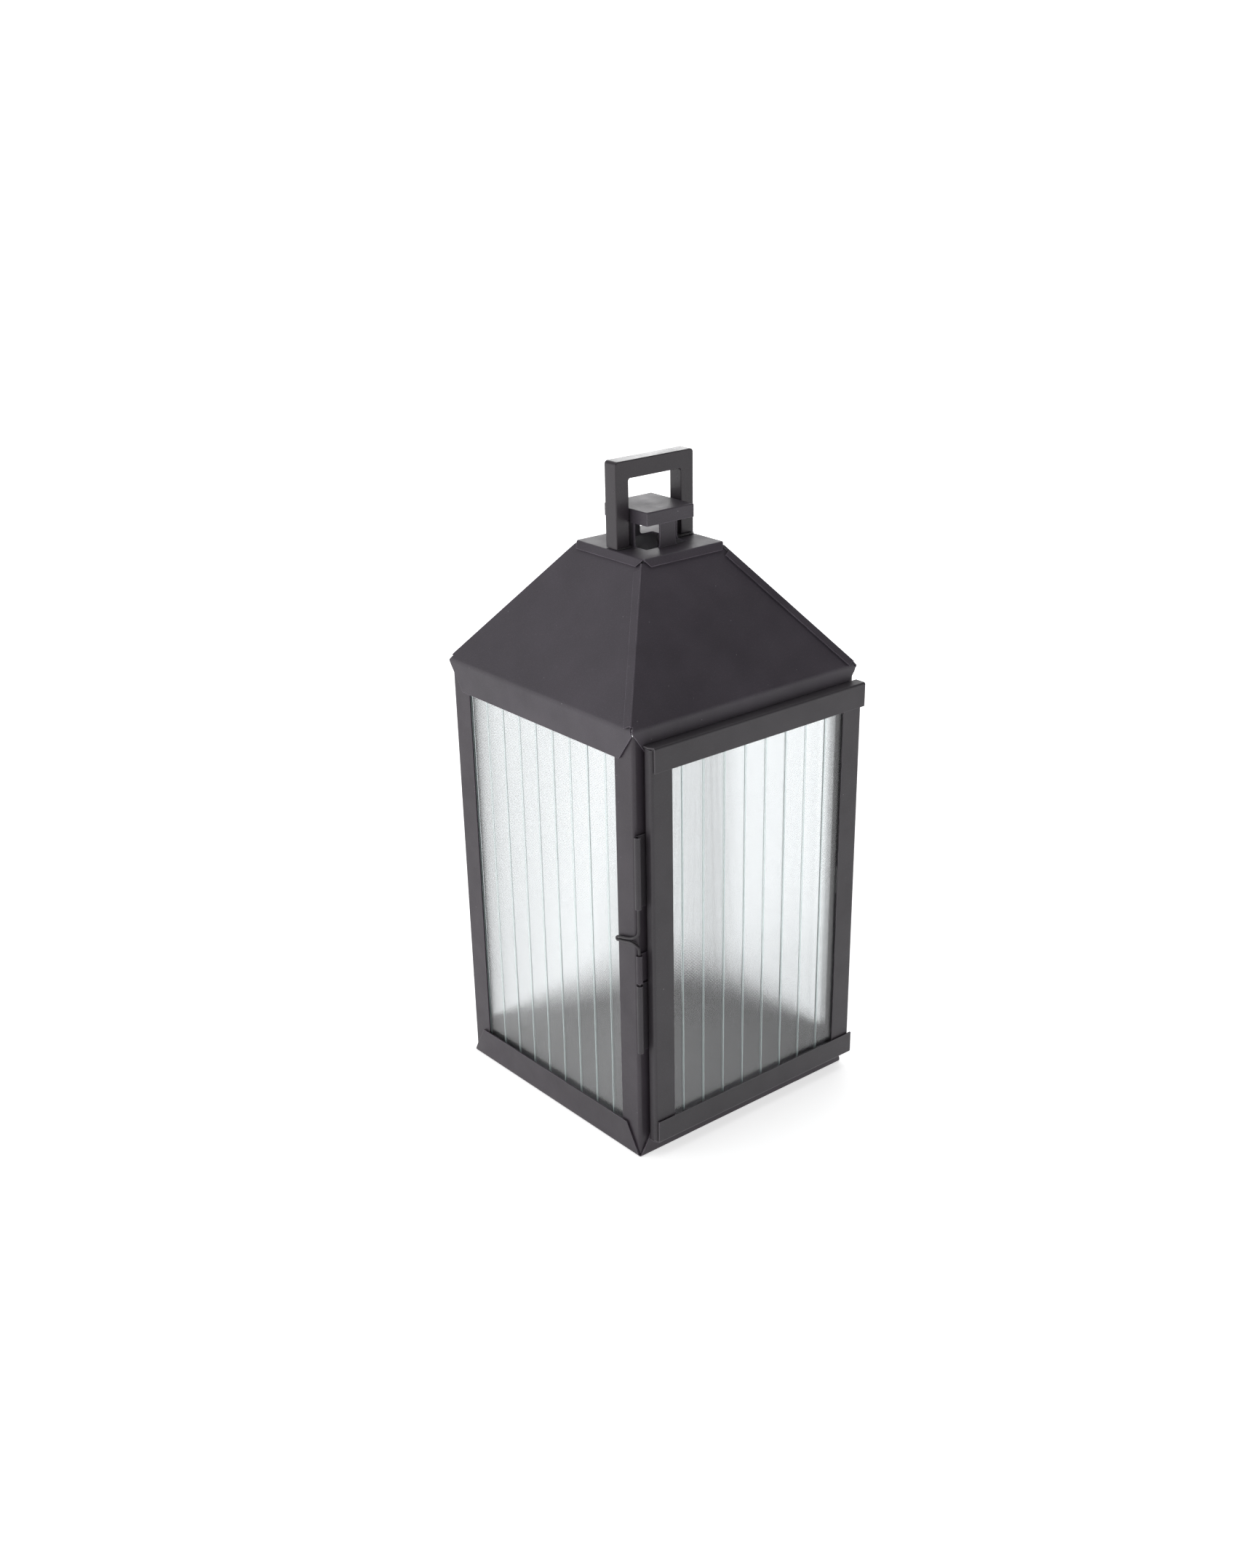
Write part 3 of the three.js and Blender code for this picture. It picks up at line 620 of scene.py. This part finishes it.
def hairpin_wire():
    """The hinge's spring wire: two straight pins, and between them a hairpin round the post's corner,
    whose legs lie side by side and part close to the corner, one up and one down. Its points are in
    millimetres, from the upper pin round to the lower one."""
    x, y = HINGE_AT
    low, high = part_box("hinge_wire")
    low_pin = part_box("hinge_leaf_post")[1][2] / MM
    high_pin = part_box("hinge_leaf_door_high")[0][2] / MM
    side = low[0] / MM + WIRE_RADIUS
    tip = high[1] / MM - WIRE_RADIUS
    upper = [
        (x, y, high_pin - 5.5),
        (x, y, 137.2),
        (x - 0.02, y + 0.02, 134.8),
        (x - 0.35, y + 0.3, 132.4),
        (side, y + 2.2, 130.5),
        (side, y + 4.6, 129.3),
        (side, y + 8.5, 128.1),
        (side, tip - 1.6, 126.6),
        (side, tip - 0.35, 126.1),
    ]
    lower = [
        (side, tip, 125.35),
        (side, tip - 0.35, 124.6),
        (side, tip - 1.6, 124.85),
        (side, y + 8.5, 126.1),
        (side, y + 4.9, 126.9),
        (side, y + 2.4, 126.9),
        (x - 0.5, y + 0.45, 125.7),
        (x - 0.05, y + 0.05, 123.9),
        (x, y, low_pin + 0.6),
    ]
    bend = smooth_path([Vector(at) * MM for at in upper + lower], WIRE_STEPS)
    path = [Vector((x * MM, y * MM, high[2])), *bend, Vector((x * MM, y * MM, low[2]))]
    bm = bmesh.new()
    tube(bm, path, [WIRE_RADIUS * MM] * len(path), WIRE_SIDES)
    material = FINISHES["wire"]
    piece_from("hinge_wire_round", bm, material, "body", ("hinge_wire",), ROUND_SMOOTH_ANGLE)


def weld_bead(name, points, radius):
    """A lumpy bead of weld through the points, half sunk into what it joins."""
    path = smooth_path([Vector(at) * MM for at in points], WELD_STEPS)
    radii = []
    for i in range(len(path)):
        lump = sum(depth * math.sin(i * step + phase) for depth, step, phase in WELD_LUMPS)
        taper = min(1.0, WELD_TIP + WELD_TAPER * min(i, len(path) - 1 - i))
        radii.append(radius * (1 + lump) * taper)
    bm = bmesh.new()
    tube(bm, path, radii, WELD_SIDES)
    piece_from(name, bm, WELD, "body", (), ROUND_SMOOTH_ANGLE)


def build_welds():
    """The welds at the feet of the handle: before each leg, longest at the right one, and inside it."""
    low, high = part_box("carrying_handle")
    x0, x1 = low.x / MM, high.x / MM
    front, foot = low.y / MM, low.z / MM
    weld_bead(
        "handle_weld_right",
        [
            (x1 - 12.6, front + 0.4, foot - 0.1),
            (x1 - 9.8, front - 0.9, foot + 0.2),
            (x1 - 6.5, front - 1.1, foot + 0.3),
            (x1 - 2.5, front - 0.6, foot + 0.3),
            (x1 + 0.3, front + 0.6, foot),
        ],
        0.75 * MM,
    )
    weld_bead(
        "handle_weld_left",
        [
            (x0 + 0.6, front - 0.1, foot),
            (x0 + 3.6, front - 0.35, foot + 0.1),
            (x0 + 6.4, front - 0.3, foot + 0.1),
            (x0 + 9.4, front + 0.3, foot - 0.1),
        ],
        0.55 * MM,
    )
    weld_bead(
        "handle_weld_right_inside",
        [
            (x1 - 8.4, front + 1.2, foot),
            (x1 - 8.6, front + 4.2, foot + 0.1),
            (x1 - 8.4, front + 7.4, foot),
        ],
        0.5 * MM,
    )


# ---- assembling the pieces --------------------------------------------------------------------


def build_sheets():
    refine("base_tray", "body")
    for corner in ("front_left", "front_right", "back_right", "back_left"):
        refine(f"corner_post_{corner}", "body")
        refine(f"glass_retainer_{corner}", "body")
    for side in ("front", "right", "back", "left"):
        refine(f"roof_panel_{side}", "roof")
    refine("crown_plate", "roof")
    refine("vent_cap", "roof")
    refine("carrying_handle", "handle", HANDLE_EDGE)
    for part in ("stile_hinge_side", "stile_free_side", "rail_top", "rail_bottom"):
        refine(f"door_{part}", "door")
    for side in ("hinge", "free"):
        for height in ("low", "high"):
            refine(f"door_glass_clip_{side}_{height}", "door")
    refine("door_magnet", "magnet", MAGNET_EDGE)
    refine("hinge_leaf_door_low", "door", LEAF_EDGE)
    refine("hinge_leaf_door_high", "door", LEAF_EDGE)
    refine("hinge_leaf_post", "body", LEAF_EDGE)


def build_glass():
    ribbed_pane("door_pane", GLASS_DOOR, 0, 1, DOOR_RIB_PHASE)
    ribbed_pane("back_pane", GLASS_DOOR, 0, -1, DOOR_RIB_PHASE)
    ribbed_pane("side_pane_left", GLASS_SIDE, 1, 1, SIDE_RIB_PHASE)
    ribbed_pane("side_pane_right", GLASS_SIDE, 1, -1, SIDE_RIB_PHASE)


# ---- stage and light --------------------------------------------------------------------------


def build_stage():
    """A plain pale floor, lit from below like a light table: a little near the lantern, more far off,
    where the lamps don't reach."""
    bm = bmesh.new()
    bmesh.ops.create_grid(bm, x_segments=1, y_segments=1, size=FLOOR_SIZE)
    mesh = bpy.data.meshes.new("floor")
    bm.to_mesh(mesh)
    bm.free()
    floor = bpy.data.objects.new("floor", mesh)
    floor.location = (0, 0, -FLOOR_DROP)
    bpy.context.scene.collection.objects.link(floor)
    material, tree, shader = new_material("pale_floor")
    where = object_place(tree)
    distance = add(tree, "ShaderNodeVectorMath", {0: where}, operation="LENGTH").outputs["Value"]
    glow = remap(tree, distance, FLOOR_REACH, FLOOR_GLOW, smooth=True)
    paper = noise(tree, where, PAPER_GRAIN)
    tree.links.new(mix_colour(tree, paper, *FLOOR_TONES), shader.inputs["Base Color"])
    tree.links.new(glow, shader.inputs["Emission Strength"])
    shader.inputs["Roughness"].default_value = FLOOR_ROUGHNESS
    shader.inputs["Specular IOR Level"].default_value = FLOOR_SHEEN
    shader.inputs["Emission Color"].default_value = (1, 1, 1, 1)
    mesh.materials.append(material)


def soft_box(name, at, size, watts, aim):
    data = bpy.data.lights.new(name, "AREA")
    data.shape = "RECTANGLE"
    data.size, data.size_y = size
    data.energy = watts
    light = bpy.data.objects.new(name, data)
    light.location = at
    light.rotation_mode = "QUATERNION"
    light.rotation_quaternion = (Vector(aim) - Vector(at)).to_track_quat("-Z", "Y")
    light.visible_camera = False
    bpy.context.scene.collection.objects.link(light)


def build_light():
    """A pale horizon that fades to a dim ceiling, and above it a darker sky in front; soft boxes."""
    world = bpy.data.worlds.new("studio")
    world.use_nodes = True
    tree = world.node_tree
    direction = add(tree, "ShaderNodeTexCoord").outputs["Generated"]
    height = add(tree, "ShaderNodeSeparateXYZ", {0: direction}).outputs["Z"]
    upward = remap(tree, height, HORIZON_FADE, (HORIZON_GLOW, CEILING_GLOW), smooth=True)
    inputs = {0: direction, 1: BRIGHT_SIDE}
    backward = add(tree, "ShaderNodeVectorMath", inputs, operation="DOT_PRODUCT").outputs["Value"]
    dimmed = remap(tree, backward, SIDE_FADE, (1 - FRONT_GLOW, 0), smooth=True)
    above_horizon = remap(tree, height, HORIZON_BAND, (0, 1), smooth=True)
    sideways = maths(tree, "SUBTRACT", 1.0, maths(tree, "MULTIPLY", dimmed, above_horizon))
    background = tree.nodes["Background"]
    background.inputs["Color"].default_value = SKY_TINT
    tree.links.new(maths(tree, "MULTIPLY", upward, sideways), background.inputs["Strength"])
    bpy.context.scene.world = world
    for name, values in SOFT_BOXES.items():
        soft_box(name, *values)
    bpy.context.scene.view_settings.view_transform = "Standard"


build_sheets()
build_glass()
hairpin_wire()
build_welds()
build_stage()
build_light()
